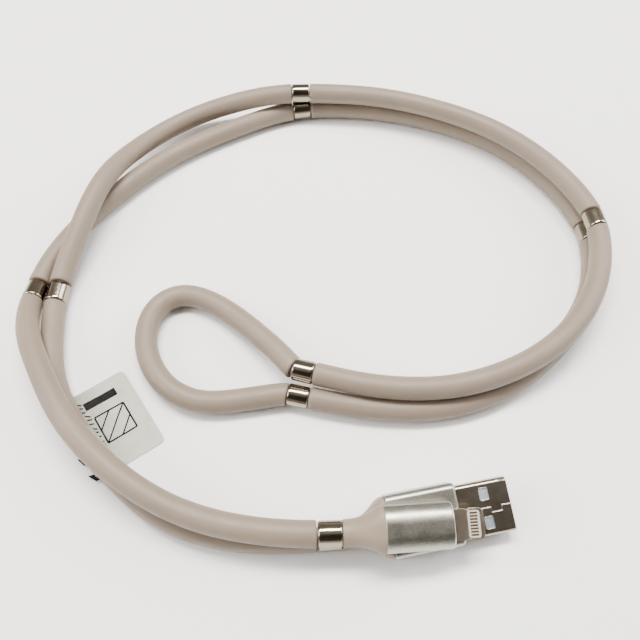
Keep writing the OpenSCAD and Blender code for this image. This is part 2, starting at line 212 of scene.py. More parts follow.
def at_x(loop, x, cy=0.0, cz=0.0):
    return np.stack([np.full(len(loop), x), loop[:, 0] + cy, loop[:, 1] + cz], axis=1)


def evaluated(ob):
    dg = bpy.context.evaluated_depsgraph_get()
    dg.update()
    me = bpy.data.meshes.new_from_object(ob.evaluated_get(dg))
    ob.modifiers.clear()
    ob.data = me
    return ob


def cut(ob, cutters, op="DIFFERENCE"):
    for c in cutters:
        m = ob.modifiers.new("cut", "BOOLEAN")
        m.object = c
        m.operation = op
        m.solver = "EXACT"
    evaluated(ob)
    for c in cutters:
        bpy.data.objects.remove(c, do_unlink=True)
    me = ob.data
    me.polygons.foreach_set("use_smooth", [True] * len(me.polygons))
    me.set_sharp_from_angle(angle=math.radians(35))
    return ob


def flats(ob, area_mm2):
    """Large faces are flat: they are shaded flat, and only the rounds between them are smooth."""
    for q in ob.data.polygons:
        if q.area > area_mm2 * MM * MM:
            q.use_smooth = False


def bevel(ob, width_mm, segments=2, angle=35):
    m = ob.modifiers.new("edge", "BEVEL")
    m.width = width_mm * MM
    m.segments = segments
    m.limit_method = "ANGLE"
    m.angle_limit = math.radians(angle)
    m.harden_normals = False
    evaluated(ob)
    ob.data.polygons.foreach_set("use_smooth", [True] * len(ob.data.polygons))
    ob.data.set_sharp_from_angle(angle=math.radians(50))
    return ob


def joined(name, parts):
    """Joins several meshes into one piece, materials kept."""
    verts, faces, mats, idx, smooth = [], [], [], [], []
    base = 0
    for o in parts:
        me = o.data
        mw = o.matrix_world
        verts += [tuple(mw @ v.co) for v in me.vertices]
        slots = []
        for m in me.materials:
            if m not in mats:
                mats.append(m)
            slots.append(mats.index(m))
        for p in me.polygons:
            faces.append(tuple(base + i for i in p.vertices))
            idx.append(slots[p.material_index] if slots else 0)
            smooth.append(p.use_smooth)
        base += len(me.vertices)
    me = bpy.data.meshes.new(name)
    me.from_pydata(verts, [], faces)
    for m in mats:
        me.materials.append(m)
    me.polygons.foreach_set("material_index", idx)
    me.polygons.foreach_set("use_smooth", smooth)
    me.update()
    me.set_sharp_from_angle(angle=math.radians(40))
    for o in parts:
        bpy.data.objects.remove(o, do_unlink=True)
    ob = bpy.data.objects.new(name, me)
    COL.objects.link(ob)
    return ob


# ------------------------------------------------------------------ materials
class Mat:
    def __init__(self, name, **sockets):
        self.m = bpy.data.materials.new(name)
        self.m.use_nodes = True
        self.nt = self.m.node_tree
        self.b = self.nt.nodes["Principled BSDF"]
        for k, v in sockets.items():
            key = {"rough": "Roughness", "metal": "Metallic", "ior": "IOR", "coat": "Coat Weight",
                   "coat_rough": "Coat Roughness", "sss": "Subsurface Weight", "sss_scale": "Subsurface Scale",
                   "sss_radius": "Subsurface Radius", "sheen": "Sheen Weight", "sheen_rough": "Sheen Roughness",
                   "spec": "Specular IOR Level", "trans": "Transmission Weight", "alpha": "Alpha",
                   "aniso": "Anisotropic"}[k]
            self.b.inputs[key].default_value = v
        self.co = self.nt.nodes.new("ShaderNodeTexCoord")

    def link(self, a, b):
        self.nt.links.new(a, b)

    def node(self, kind, **kw):
        n = self.nt.nodes.new(kind)
        for k, v in kw.items():
            setattr(n, k, v)
        return n

    def coords(self, scale=(1, 1, 1)):
        mp = self.node("ShaderNodeMapping")
        mp.inputs["Scale"].default_value = scale
        self.link(self.co.outputs["Object"], mp.inputs["Vector"])
        return mp.outputs["Vector"]

    def noise(self, scale, detail=3.0, rough=0.55, stretch=(1, 1, 1), distort=0.0):
        n = self.node("ShaderNodeTexNoise")
        n.inputs["Scale"].default_value = scale
        n.inputs["Detail"].default_value = detail
        n.inputs["Roughness"].default_value = rough
        n.inputs["Distortion"].default_value = distort
        self.link(self.coords(stretch), n.inputs["Vector"])
        return n.outputs["Fac"]

    def rng(self, fac, lo, hi, a=0.3, b=0.7):
        r = self.node("ShaderNodeMapRange")
        r.inputs["From Min"].default_value = a
        r.inputs["From Max"].default_value = b
        r.inputs["To Min"].default_value = lo
        r.inputs["To Max"].default_value = hi
        self.link(fac, r.inputs["Value"])
        return r.outputs["Result"]

    def mix(self, fac, c1, c2):
        x = self.node("ShaderNodeMix", data_type="RGBA")
        for s, c in ((6, c1), (7, c2)):
            if isinstance(c, (tuple, list)):
                x.inputs[s].default_value = (*c, 1)
            else:
                self.link(c, x.inputs[s])
        if isinstance(fac, (int, float)):
            x.inputs[0].default_value = fac
        else:
            self.link(fac, x.inputs[0])
        return x.outputs[2]

    def mul(self, a, b):
        x = self.node("ShaderNodeMath", operation="MULTIPLY")
        for i, s in enumerate((a, b)):
            if isinstance(s, (int, float)):
                x.inputs[i].default_value = s
            else:
                self.link(s, x.inputs[i])
        return x.outputs[0]

    def color(self, c):
        self.link(c, self.b.inputs["Base Color"])

    def rough(self, c):
        self.link(c, self.b.inputs["Roughness"])

    def bump(self, fac, strength, distance=0.0001):
        n = self.node("ShaderNodeBump")
        n.inputs["Strength"].default_value = strength
        n.inputs["Distance"].default_value = distance
        self.link(fac, n.inputs["Height"])
        prev = self.b.inputs["Normal"].links
        if prev:
            self.link(prev[0].from_socket, n.inputs["Normal"])
        self.link(n.outputs["Normal"], self.b.inputs["Normal"])

    def specks(self, scale, size, rare):
        v = self.node("ShaderNodeTexVoronoi")
        v.inputs["Scale"].default_value = scale
        self.link(self.coords(), v.inputs["Vector"])
        lt = self.node("ShaderNodeMath", operation="LESS_THAN")
        lt.inputs[1].default_value = size
        self.link(v.outputs["Distance"], lt.inputs[0])
        sep = self.node("ShaderNodeSeparateColor")
        self.link(v.outputs["Color"], sep.inputs[0])
        gt = self.node("ShaderNodeMath", operation="GREATER_THAN")
        gt.inputs[1].default_value = rare
        self.link(sep.outputs[0], gt.inputs[0])
        return self.mul(lt.outputs[0], gt.outputs[0])


def silicone(name, c1, c2, dusty=0.0):
    k = Mat(name, sss=0.12, sss_scale=0.0025, sss_radius=(1.0, 0.75, 0.6), spec=0.42, sheen=0.06, sheen_rough=0.4)
    big = k.noise(55, 3, 0.5)
    c = k.mix(k.rng(big, 0, 1), c1, c2)
    fine = k.noise(1400, 4, 0.6)
    c = k.mix(k.rng(fine, 0, 0.10), c, tuple(x * 0.82 for x in c1))
    c = k.mix(k.mul(k.specks(260, 0.045, 0.90), 0.45), c, (0.10, 0.08, 0.07))
    c = k.mix(k.mul(k.specks(420, 0.05, 0.93), 0.35), c, (0.85, 0.83, 0.80))
    k.color(c)
    k.rough(k.rng(k.noise(240, 4, 0.6), 0.46, 0.60))
    k.bump(fine, 0.10, 0.00006)
    k.bump(k.noise(9000, 2, 0.6), 0.10, 0.00002)
    return k.m


def metal(name, c1, c2, r1, r2, grain=(1, 1, 1), grain_scale=4000, bump=0.1, mottle=700, smudge=120, streak=0.16):
    k = Mat(name, metal=1.0)
    c = k.mix(k.rng(k.noise(mottle, 4, 0.6), 0, 1), c1, c2)
    g = k.noise(grain_scale, 3, 0.6, grain)
    c = k.mix(k.rng(g, 0, streak), c, tuple(x * 0.72 for x in c1))
    k.color(c)
    rr = k.node("ShaderNodeMath", operation="ADD")
    k.link(k.rng(k.noise(smudge, 4, 0.6), r1, r2), rr.inputs[0])
    k.link(k.rng(g, -0.2 * streak, 0.25 * streak), rr.inputs[1])
    k.rough(rr.outputs[0])
    k.bump(g, bump, 0.00003)
    return k.m


def plastic(name, c1, c2, r1=0.35, r2=0.5, scale=900, bump=0.06, **kw):
    k = Mat(name, **kw)
    k.color(k.mix(k.rng(k.noise(scale, 4, 0.6), 0, 1), c1, c2))
    k.rough(k.rng(k.noise(scale * 0.4, 3, 0.6), r1, r2))
    k.bump(k.noise(scale * 6, 3, 0.6), bump, 0.00004)
    return k.m


M_SLEEVE = silicone("silicone_sleeve", (0.180, 0.139, 0.103), (0.205, 0.160, 0.119))
M_BOOT = silicone("silicone_boot", (0.205, 0.161, 0.116), (0.228, 0.181, 0.133))
M_CORE = plastic("cable_jacket", (0.62, 0.58, 0.53), (0.68, 0.64, 0.59), 0.4, 0.55)
M_HOUSING = metal("satin_aluminium", (0.30, 0.29, 0.25), (0.46, 0.445, 0.39), 0.31, 0.40, (1, 1, 1), 5200, 0.30, 2400, 300)
# front chamfer metal: lighter than the housing as a painted highlight along the chamfer, and a little smoother than the
# housing
M_CHAMFER_PAINTED_HIGHLIGHT = metal("chamfer_painted_highlight", (0.42, 0.41, 0.37), (0.50, 0.49, 0.45), 0.26, 0.34, (1, 1, 1), 6000, 0.05)
M_SHELL = metal("plated_steel", (0.36, 0.315, 0.26), (0.41, 0.36, 0.30), 0.22, 0.28, (0.3, 1, 1), 3600, 0.02, 260, 160, 0.05)
M_LIP = metal("plated_edge", (0.46, 0.41, 0.34), (0.52, 0.46, 0.39), 0.22, 0.30, (1, 1, 1), 3000, 0.03)
M_TAB = metal("brown_steel", (0.42, 0.35, 0.28), (0.47, 0.395, 0.32), 0.28, 0.36, (1, 1, 1), 5000, 0.06, 500, 300)
M_RING = metal("ring_plating", (0.27, 0.232, 0.18), (0.31, 0.268, 0.21), 0.10, 0.16, (1, 1, 0.15), 3500, 0.04, 500, 400)
M_WHITE = plastic("white_plastic", (0.40, 0.365, 0.31), (0.45, 0.41, 0.355), 0.45, 0.55)
M_TONGUE = plastic("blue_grey_plastic", (0.20, 0.23, 0.265), (0.235, 0.27, 0.305), 0.45, 0.6)
M_PAD = metal("contact_pad", (0.10, 0.062, 0.036), (0.13, 0.085, 0.05), 0.5, 0.6)
M_GOLD = metal("gold_contact", (0.75, 0.55, 0.24), (0.82, 0.62, 0.30), 0.18, 0.28)
M_BLACK = plastic("black_plastic", (0.02, 0.02, 0.02), (0.035, 0.034, 0.033), 0.4, 0.55)
M_BOARD = plastic("green_board", (0.02, 0.13, 0.05), (0.03, 0.17, 0.07), 0.3, 0.45, coat=0.4)
M_INK = plastic("ink", (0.006, 0.005, 0.005), (0.014, 0.012, 0.011), 0.7, 0.85, spec=0.12)
M_FILM_K = Mat("tag_film", spec=0.35)
# tag film colour: darker towards the strand, fading out over the inner half of the flag and dark on the collar, a
# painted shade of the crease and its wrinkles where the film wraps the strand
tag_d = M_FILM_K.node("ShaderNodeVectorMath", operation="DOT_PRODUCT")
tag_d.inputs[1].default_value = (0.9207, 0.3903, 0.0)
M_FILM_K.link(M_FILM_K.co.outputs["Object"], tag_d.inputs[0])
tag_w = M_FILM_K.rng(tag_d.outputs["Value"], 0.0, 1.0, -0.0555, -0.0475)
film_c = M_FILM_K.mix(M_FILM_K.rng(M_FILM_K.noise(260, 4, 0.6), 0, 1), (0.35, 0.35, 0.295), (0.46, 0.46, 0.40))
# dark blotchy colour of the painted crease shade
film_painted_shade = M_FILM_K.mix(M_FILM_K.rng(M_FILM_K.noise(700, 4, 0.65, (1, 1, 1), 0.6), 0, 1), (0.10, 0.097, 0.08), (0.30, 0.295, 0.25))
M_FILM_K.color(M_FILM_K.mix(tag_w, film_painted_shade, film_c))
M_FILM_K.rough(M_FILM_K.rng(M_FILM_K.noise(260, 3, 0.6), 0.40, 0.58))
M_FILM_K.bump(M_FILM_K.noise(420, 3, 0.6, (1, 1, 1), 0.8), 0.35, 0.00012)
M_FILM = M_FILM_K.m
WIRES = {c: plastic("wire_" + c, v, tuple(x * 1.15 for x in v), 0.3, 0.45) for c, v in {
    "red": (0.45, 0.02, 0.02), "white": (0.75, 0.75, 0.73), "green": (0.02, 0.25, 0.05), "black": (0.02, 0.02, 0.02)}.items()}


def full_line():
    def through(k, side):
        return [strand(RT[k], side) + w * RING_L * strand_dir(RT[k], side) for w in (-0.5, -0.25, 0, 0.25, 0.5)]
    P = through(0, 1)
    for k in (1, 2, 3, 4):
        P += list(sleeve_line(k, 1, 60)) + through(k, 1)
    P += list(loop_line(70))
    P += through(4, -1)[::-1]
    for k in (4, 3, 2, 1):
        P += list(sleeve_line(k, -1, 60)[::-1]) + through(k - 1, -1)[::-1]
    return np.array(P)


line, s_line = resample(full_line(), 1.6)
v, f = loft(rings_of(line, tangents(line), np.full(len(line), CORE), 16))
core = mesh_obj("inner_cable_jacket", v, f, M_CORE)
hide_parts("inner_cable")
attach(core, "cable")


def sleeve(name, node, P, d0, d1, seed):
    P, s = resample(P, 1.1)
    L = s[-1]
    T = tangents(P, d0, d1)
    # extra sections at both ends for the rounded rims
    extra = [0.0, 0.04, 0.12, 0.25, 0.45]
    idx_s = sorted(set([round(x, 3) for x in extra] + [round(L - x, 3) for x in extra] + [round(x, 3) for x in s[1:-1]]))
    PP = np.stack([np.interp(idx_s, s, P[:, k]) for k in range(3)], axis=1)
    TT = np.stack([np.interp(idx_s, s, T[:, k]) for k in range(3)], axis=1)
    TT /= np.linalg.norm(TT, axis=1)[:, None]
    rr = []
    for x in idx_s:
        e = min(x, L - x)
        drop = 0.30 * max(0.0, 1 - e / 0.45) ** 2.2
        flare = 0.035 * math.exp(-((e - 0.9) / 0.7) ** 2)
        w = 0.012 * math.sin(x / 9.0 + seed) + 0.010 * math.sin(x / 3.7 + 2.1 * seed)
        rr.append(R0 - 0.03 - drop + flare + w)
    n = 40
    outer = rings_of(PP, TT, rr, n)
    # slight out-of-round, different along the sleeve
    for i, x in enumerate(idx_s):
        c = PP[i]
        a = 2 * math.pi * np.arange(n) / n
        k = 1 + 0.006 * np.cos(2 * a + x / 14.0 + seed) + 0.003 * np.cos(3 * a - x / 8.0 + seed)
        outer[i] = c + (outer[i] - c) * k[:, None]
    # the bore runs right through, from the far end back
    deep = [0.0, 0.15] + [float(x) for x in np.linspace(2.0, L - 2.0, int(L / 3))] + [L - 0.15, L]
    deep = deep[::-1]
    Q = np.stack([np.interp(deep, s, P[:, k]) for k in range(3)], axis=1)
    W = np.stack([np.interp(deep, s, T[:, k]) for k in range(3)], axis=1)
    W /= np.linalg.norm(W, axis=1)[:, None]
    rb = [BORE + 0.15] + [BORE] * (len(deep) - 2) + [BORE + 0.15]
    v, f = loft(outer + rings_of(Q, W, rb, n), (False, False), wrap=True)
    f = [q[::-1] for q in f]
    ob = mesh_obj(name, v, f, M_SLEEVE, 60)
    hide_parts(node)
    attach(ob, "cable")
    return ob


def pair_ends(k, side):
    return strand_dir(RT[k - 1], side), strand_dir(RT[k], side)


for side, tag in ((1, "usb"), (-1, "tab")):
    for k in (1, 2, 3, 4):
        d0, d1 = pair_ends(k, side)
        sleeve("%s_sleeve_skin_%d" % (tag, k), "%s_sleeve_%d" % (tag, k), sleeve_line(k, side, 120), d0, d1, 1.7 * k + side)
sleeve("loop_sleeve_skin", "loop_sleeve", loop_line(140), 0.45 * strand_dir(RT[4], 1) + 0.55 * unit(bs(LOOP, 0.5) - bs(LOOP, 0.3)),
       -strand_dir(RT[4], -1), 4.4)


# ------------------------------------------------------------------ ring magnets
def ring(name, node, c, d, seed):
    n = 72
    h, r, b = RING_L / 2, RING_R, BORE
    prof = [(b, -h + 0.25), (b + 0.06, -h + 0.1), (b + 0.22, -h), (r - 0.42, -h), (r - 0.36, -h), (r - 0.16, -h + 0.09),
            (r - 0.04, -h + 0.26), (r, -h + 0.40), (r, -h + 0.8), (r, 0), (r, h - 0.8), (r, h - 0.40), (r - 0.04, h - 0.26),
            (r - 0.16, h - 0.09), (r - 0.36, h), (r - 0.42, h), (b + 0.22, h), (b + 0.06, h - 0.1), (b, h - 0.25)]
    a = 2 * math.pi * np.arange(n) / n
    secs = []
    for rr, zz in prof:
        w = 1 + 0.0012 * np.cos(3 * a + seed + zz)
        secs.append(np.stack([rr * w * np.cos(a), rr * w * np.sin(a), np.full(n, zz)], axis=1))
    v, f = loft(secs, (False, False), wrap=True)
    ob = mesh_obj(name, v, f, M_RING, 55)
    zax = Vector(d).normalized()
    xax = zax.orthogonal().normalized()
    yax = zax.cross(xax)
    m = Matrix((xax, yax, zax)).transposed().to_4x4()
    m.translation = Vector(c) * MM
    ob.matrix_world = m
    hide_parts(node)
    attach(ob, "cable")


for side, tag in ((1, "usb"), (-1, "tab")):
    for k in (1, 2, 3, 4, 5):
        ring("%s_ring_%d" % (tag, k), "%s_magnet_%d" % (tag, k), strand(RT[k - 1], side), strand_dir(RT[k - 1], side), k + 0.5 * side)

# ------------------------------------------------------------------ wrap-round tag
TA = np.array([-79.3, 46.8])
TU = unit([0.408, -0.913])
TV = unit([0.92, 0.39])
TL, TW = 23.3, 14.4


def tag_point(s, w):
    """s along the cable 0..1, w outwards from the strand: 0 at the strand's edge, 1 at the free edge."""
    p = TA + TU * TL * s + TV * TW * w
    z = 0.16 + 1.2 * math.exp(-((w + 0.10) / 0.12) ** 2) + 0.55 * max(0, w - 0.55) ** 2 * (1 - 0.5 * s) \
        + 0.10 * math.sin(5.0 * s + 1.0) * math.exp(-((w - 0.25) / 0.3) ** 2) \
        + 0.10 * math.sin(16 * s + 3 * w) * max(0, 0.45 - w) + 0.10 * math.sin(9 * s - 7 * w + 0.6) * (0.4 + 0.6 * w)
    return np.array([p[0], p[1], max(z, 0.14)])


def sheet_piece(name, rows, mat, thick, angle=60):
    """rows: grid [i][j] of points, mm. A closed thin sheet, thick upwards."""
    a, b = len(rows), len(rows[0])
    G = np.array(rows)
    dx = np.gradient(G, axis=0)
    dy = np.gradient(G, axis=1)
    N = np.cross(dx, dy)
    N /= np.linalg.norm(N, axis=2)[:, :, None] + 1e-12
    if N[:, :, 2].mean() < 0:
        N = -N
        flip = True
    else:
        flip = False
    top = (G + N * thick).reshape(-1, 3)
    bot = G.reshape(-1, 3)
    v = np.concatenate([top, bot])
    o = a * b
    f = []
    for i in range(a - 1):
        for j in range(b - 1):
            q = (i * b + j, (i + 1) * b + j, (i + 1) * b + j + 1, i * b + j + 1)
            f.append(q if not flip else q[::-1])
            q2 = tuple(o + x for x in q)
            f.append(q2[::-1] if not flip else q2)
    edge = [(i, 0) for i in range(a)] + [(a - 1, j) for j in range(1, b)] + [(i, b - 1) for i in range(a - 2, -1, -1)] + [(0, j) for j in range(b - 2, 0, -1)]
    E = [i * b + j for i, j in edge]
    for k in range(len(E)):
        p, q = E[k], E[(k + 1) % len(E)]
        f.append((p, o + p, o + q, q) if not flip else (q, o + q, o + p, p))
    return mesh_obj(name, v, f, mat, angle)


rows = []
for i in range(49):
    s = i / 48
    rows.append([tag_point(s + 0.012 * math.sin(7 * s) * 0, -0.12 + 1.12 * j / 36) for j in range(37)])
# rounded free corners
for i in range(49):
    for j in range(37):
        s, w = i / 48, -0.12 + 1.12 * j / 36
        r = 0.09
        du = max(0, r - s * TL / 16, r - (1 - s) * TL / 16) if w > 0.8 else 0
        ww = (1 - w) * TW / 16
        if du > 0 and ww < r:
            d = math.hypot(du, r - ww)
            if d > r:
                k = 1 - (d - r) / d
                cs = (r if s < 0.5 else TL / 16 - r)
                sc = cs + (s * TL / 16 - cs) * (r / d)
                wc = 1 - (r - (r - ww) * (r / d)) * 16 / TW
                rows[i][j] = tag_point(sc * 16 / TL, wc)
flag = sheet_piece("tag_flag", rows, M_FILM, 0.10)
# collar round the lower strand
ca, cb = 4.08, 4.75
cp = np.array([strand(ca + (cb - ca) * i / 30, 1) for i in range(31)])
ct = tangents(cp)
n = 40
cr = rings_of(cp, ct, np.full(31, R0 + 0.20), n)
ci = rings_of(cp, ct, np.full(31, R0 + 0.09), n)
for A in (cr, ci):
    for i in range(31):
        a = 2 * math.pi * np.arange(n) / n
        k = 1 + 0.008 * np.cos(5 * a + 0.6 * i) * math.exp(-min(i, 30 - i) / 3.0)
        A[i] = cp[i] + (A[i] - cp[i]) * k[:, None]
secs = cr + ci[::-1]
v, f = loft(secs, (False, False), wrap=True)
v[:, 2] = np.maximum(v[:, 2], 0.02)
f = [q[::-1] for q in f]
# the collar takes the tag film and lies in its painted crease shade
collar = mesh_obj("tag_collar", v, f, M_FILM, 60)

# print: plain bar, a hatched square and a row of ticks, a hair above the film
def stripe(name, p0, p1, width, mat=M_INK, lift=0.105, n=10):
    """A straight printed stripe between two tag coordinates (mm along, mm out)."""
    p0, p1 = np.array(p0, float), np.array(p1, float)
    d = unit(p1 - p0)
    q = np.array([-d[1], d[0]]) * width / 2
    rows = []
    for i in range(n + 1):
        c = p0 + (p1 - p0) * i / n
        rows.append([tag_point((c + q * k)[0] / TL, (c + q * k)[1] / TW) + np.array([0, 0, lift]) for k in (-1, 0, 1)])
    return sheet_piece(name, rows, mat, 0.015)


ink = [stripe("i0", (4.3, 1.7), (4.3, 10.3), 2.2)]
sq = [(8.2, 2.6), (8.2, 10.4), (16.0, 10.4), (16.0, 2.6)]
for i in range(4):
    a, b = sq[i], sq[(i + 1) % 4]
    ink.append(stripe("i%d" % (i + 1), a, b, 0.46))
for i, (a, b) in enumerate((((8.2, 6.5), (12.1, 2.6)), ((8.2, 10.4), (16.0, 2.6)), ((12.1, 10.4), (16.0, 6.5)))):
    ink.append(stripe("h%d" % i, a, b, 0.38))
for i in range(12):
    x = 2.6 + 1.3 * i
    o = 0.2 if x < 6 else 0.8
    ink.append(stripe("t%d" % i, (x, o), (x + (0.4 if i % 3 else 0.8), o + 1.15), 0.42))
print_marks = joined("tag_print", ink)
# two stiff printed corners of the wrap that stand out on the far side
def corner(name, pts, z0, z1, mat):
    c = np.mean(pts, axis=0)
    loop0 = [np.array([x, y, z0 + 0.35 * i]) for i, (x, y) in enumerate(pts)]
    m = len(pts)
    v = [p for p in loop0] + [p + np.array([0, 0, 0.12]) for p in loop0]
    f = [tuple(range(m - 1, -1, -1)), tuple(range(m, 2 * m))]
    f += [(i, (i + 1) % m, m + (i + 1) % m, m + i) for i in range(m)]
    return mesh_obj(name, v, f, mat, 30)


tips = joined("tag_wrap_tips", [
    corner("c0", [(-75.0, 29.8), (-77.9, 30.3), (-76.2, 28.3), (-73.4, 27.6)], 0.3, 1, M_INK),
    corner("c1", [(-72.4, 26.2), (-75.4, 25.6), (-73.4, 23.9), (-71.0, 24.3)], 0.3, 1, M_INK)])
tag_parts = [flag, collar, print_marks, tips]
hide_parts("cable_tag")
for o in tag_parts:
    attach(o, "cable")

# ------------------------------------------------------------------ plugs
ROLL = math.radians(18)
USB_C = (-0.26, -0.25, 5.5 * math.sin(ROLL) + 1.9 * math.cos(ROLL) + 1.41)
USB_M = Matrix.Translation(Vector(USB_C) * MM) @ Matrix.Rotation(ROLL, 4, "X")
TAB_M = USB_M @ Matrix.Translation(Vector((-2.5, -0.5, 6.56)) * MM) @ Matrix.Rotation(math.radians(-7), 4, "Z")


def neck(m, side):
    """Middle of the first ring's face and its direction, in a plug's own frame, mm."""
    c = strand(RT[0], side) - (RING_L / 2) * strand_dir(RT[0], side)
    q = m.inverted()
    d = q.to_3x3() @ Vector(strand_dir(RT[0], side))
    return np.array(q @ (Vector(c) * MM)) / MM, -np.array(d), c


def place(ob, m):
    ob.data.transform(m)
    ob.data.update()
    return ob


def pillow(a, b, ra, rb, n=18):
    """Closed loop of half sizes a, b with elliptical corners of half sizes ra, rb."""
    pts = []
    for c in range(4):
        sx = 1 if c in (0, 3) else -1
        sy = 1 if c < 2 else -1
        for j in range(n):
            g = math.radians(90 * c + 90 * j / (n - 1))
            pts.append((sx * (a - ra) + ra * math.cos(g), sy * (b - rb) + rb * math.sin(g)))
    return np.array(pts)


def housing(name, hl, hw, hh, ra, rb, ch_back, ch_front):
    """A shell-like sleeve of metal along X: half sizes, edge rounding, back and front chamfers."""
    def loop(x, inset):
        return at_x(pillow(hw - inset, hh - inset, max(ra - inset, 0.3), max(rb - inset, 0.3)), x)
    secs = [loop(-hl, ch_back + 0.5), loop(-hl, ch_back + 0.02), loop(-hl, ch_back), loop(-hl + ch_back * 0.35, ch_back * 0.35), loop(-hl + ch_back, 0.0),
            loop(-hl + ch_back + 0.2, 0.0)]
    xs = np.linspace(-hl + ch_back + 0.2, hl - ch_front - 0.2, 10)[1:-1]
    secs += [loop(x, 0.0) for x in xs]
    secs += [loop(hl - ch_front - 0.2, 0.0), loop(hl - ch_front, 0.0), loop(hl - ch_front * 0.55, ch_front * 0.16), loop(hl - ch_front * 0.15, ch_front * 0.5),
             loop(hl, ch_front * 0.85), loop(hl, ch_front * 0.85 + 0.25)]
    v, f = loft(secs)
    o = mesh_obj(name, v, f, M_HOUSING, 38)
    # the front chamfer faces take the lighter chamfer metal, a painted highlight along the front edge
    o.data.materials.append(M_CHAMFER_PAINTED_HIGHLIGHT)
    for q in o.data.polygons:
        if hl - ch_front - 0.02 < q.center.x / MM < hl - 0.01:
            q.material_index = 1
    return o


# boots: half-width against distance, round neck to housing outline, rounded rim
def boot(name, m, side, x_house, hw, hh, ra, rb):
    """Round neck square to the first ring, flaring to the housing's outline, rounded rim."""
    nk, nd, _ = neck(m, side)
    x_neck = nk[0] + 0.14
    L = x_house - x_neck
    prof = [(0.0, 0.0), (0.10, 0.0), (0.22, 0.02), (0.34, 0.08), (0.46, 0.19), (0.56, 0.34), (0.65, 0.52), (0.73, 0.70),
            (0.80, 0.86), (0.86, 0.96), (0.90, 1.02), (0.935, 1.045), (0.965, 1.04), (0.985, 1.01), (1.0, 0.965)]
    s_all = [p[0] for p in prof]
    k_all = [p[1] for p in prof]
    secs = []
    S = np.concatenate([np.linspace(0, 0.9, 34), np.linspace(0.915, 1.0, 9)])
    for s in S:
        # smooth the profile by a local average
        ws = [-0.03, -0.015, 0, 0.015, 0.03] if s < 0.92 else [0]
        k = float(np.mean([np.interp(np.clip(s + d, 0, 1), s_all, k_all) for d in ws]))
        k = k * 0.88 if side > 0 else k
        kk = min(k, 1.0)
        e = s * s * (3 - 2 * s)
        a = R0 - 0.02 + (hw - R0 + 0.02) * k
        b = R0 - 0.02 + (hh - 0.02 - R0) * min(k, 1.0)
        xa = R0 - 0.03 + (ra + 0.1 - R0) * kk
        xb = R0 - 0.03 + (rb + 0.05 - R0) * kk
        cy, cz = nk[1] * (1 - e), nk[2] * (1 - e)
        q = at_x(pillow(a, b, min(xa, a * 0.999), min(xb, b * 0.999)), x_neck + L * s, cy, cz)
        w = (1 - s) ** 2
        q[:, 0] += w * ((nd[1] / nd[0]) * -(q[:, 1] - cy) + (nd[2] / nd[0]) * -(q[:, 2] - cz))
        secs.append(q)
    # closed back face towards the ring, with the cable's hole left as a shallow dish
    first = secs[0]
    c = first.mean(axis=0)
    rim = c + (first - c) * 0.93
    rim[:, 0] -= 0.10
    hole = c + (first - c) * 0.55
    hole[:, 0] -= 0.10
    inner = c + (first - c) * 0.53
    inner[:, 0] += 1.2
    last = secs[-1]
    c2 = last.mean(axis=0)
    end = c2 + (last - c2) * 0.9
    secs = [inner, hole, rim] + secs + [end]
    v, f = loft(secs)
    return place(mesh_obj(name, v, f, M_BOOT, 60), m)


def bend(ob):
    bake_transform(ob)


# ---- USB plug
uh = place(housing("usb_housing_skin", 8.0, 6.9, 3.3, 1.4, 1.4, 0.12, 0.62), USB_M)
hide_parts("usb_housing")
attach(uh, "usb_plug")
ub = boot("usb_boot_skin", USB_M, 1, -7.98, 6.9, 3.3, 1.4, 1.4)
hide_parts("usb_boot")
bend(ub)

# shell: a folded sheet with windows top and bottom and a stepped seam on top
SW, SH, ST = 6.0, 2.25, 0.3
XA, XB = 6.0, 20.0
outer = rrect(SW, SH, 0.95, 14)
inner = rrect(SW - ST, SH - ST, 0.65, 14)
secs = [at_x(outer, x) for x in (XA, 8.2, 10, 12, 14, 16, 18, XB - 0.12)]
secs += [at_x(rrect(SW - 0.05, SH - 0.05, 0.9, 14), XB - 0.02), at_x(rrect(SW - 0.10, SH - 0.10, 0.85, 14), XB)]
secs += [at_x(rrect(SW - ST + 0.03, SH - ST + 0.03, 0.68, 14), XB), at_x(inner, XB - 0.06)]
secs += [at_x(inner, x) for x in (18, 16, 14, 12, 10, 8.2, XA)]
v, f = loft(secs, (False, False), wrap=True)
shell = mesh_obj("usb_shell_skin", v, f, M_SHELL, 40)


def prism(name, loop, z0, z1):
    n = len(loop)
    v = [(x, y, z0) for x, y in loop] + [(x, y, z1) for x, y in loop]
    f = [tuple(range(n - 1, -1, -1)), tuple(range(n, 2 * n))] + [(i, (i + 1) % n, n + (i + 1) % n, n + i) for i in range(n)]
    return mesh_obj(name, v, f, None, 30)


WX, WA, WB, WR = 14.3, 1.08, 1.32, 0.42
cutters = []
for y in (-3.15, 3.15):
    for z0, z1 in ((1.5, 3.0), (-3.0, -1.5)):
        cutters.append(prism("cut", rrect(WA, WB, WR, 8) + np.array([WX, y]), z0, z1))
# stepped seam, cut through the top wall as a narrow slot
SEAM = [(7.0, -0.55), (10.8, -0.55), (12.9, -0.55), (13.2, -0.55), (15.6, -0.35), (15.6, -1.35), (17.7, -1.35), (17.7, 0.15), (20.2, 0.15)]
SEAM = [(7.0, 0.1), (15.3, 0.1), (15.3, -1.05), (17.75, -1.05), (17.75, 0.1), (20.2, 0.1)]


def ribbon(path, w):
    L, R = [], []
    n = len(path)
    P = np.array(path, float)
    for i in range(n):
        d0 = unit(P[i] - P[i - 1]) if i > 0 else unit(P[1] - P[0])
        d1 = unit(P[i + 1] - P[i]) if i < n - 1 else unit(P[-1] - P[-2])
        n0, n1 = np.array([-d0[1], d0[0]]), np.array([-d1[1], d1[0]])
        m = unit(n0 + n1)
        k = w / 2 / max(0.3, float(m @ n0))
        L.append(P[i] + m * k)
        R.append(P[i] - m * k)
    return np.array(L + R[::-1])


cutters.append(prism("cut", ribbon(SEAM, 0.10), 1.5, 3.0))
cut(shell, cutters)
bevel(shell, 0.05, 2, 40)
flats(shell, 0.6)


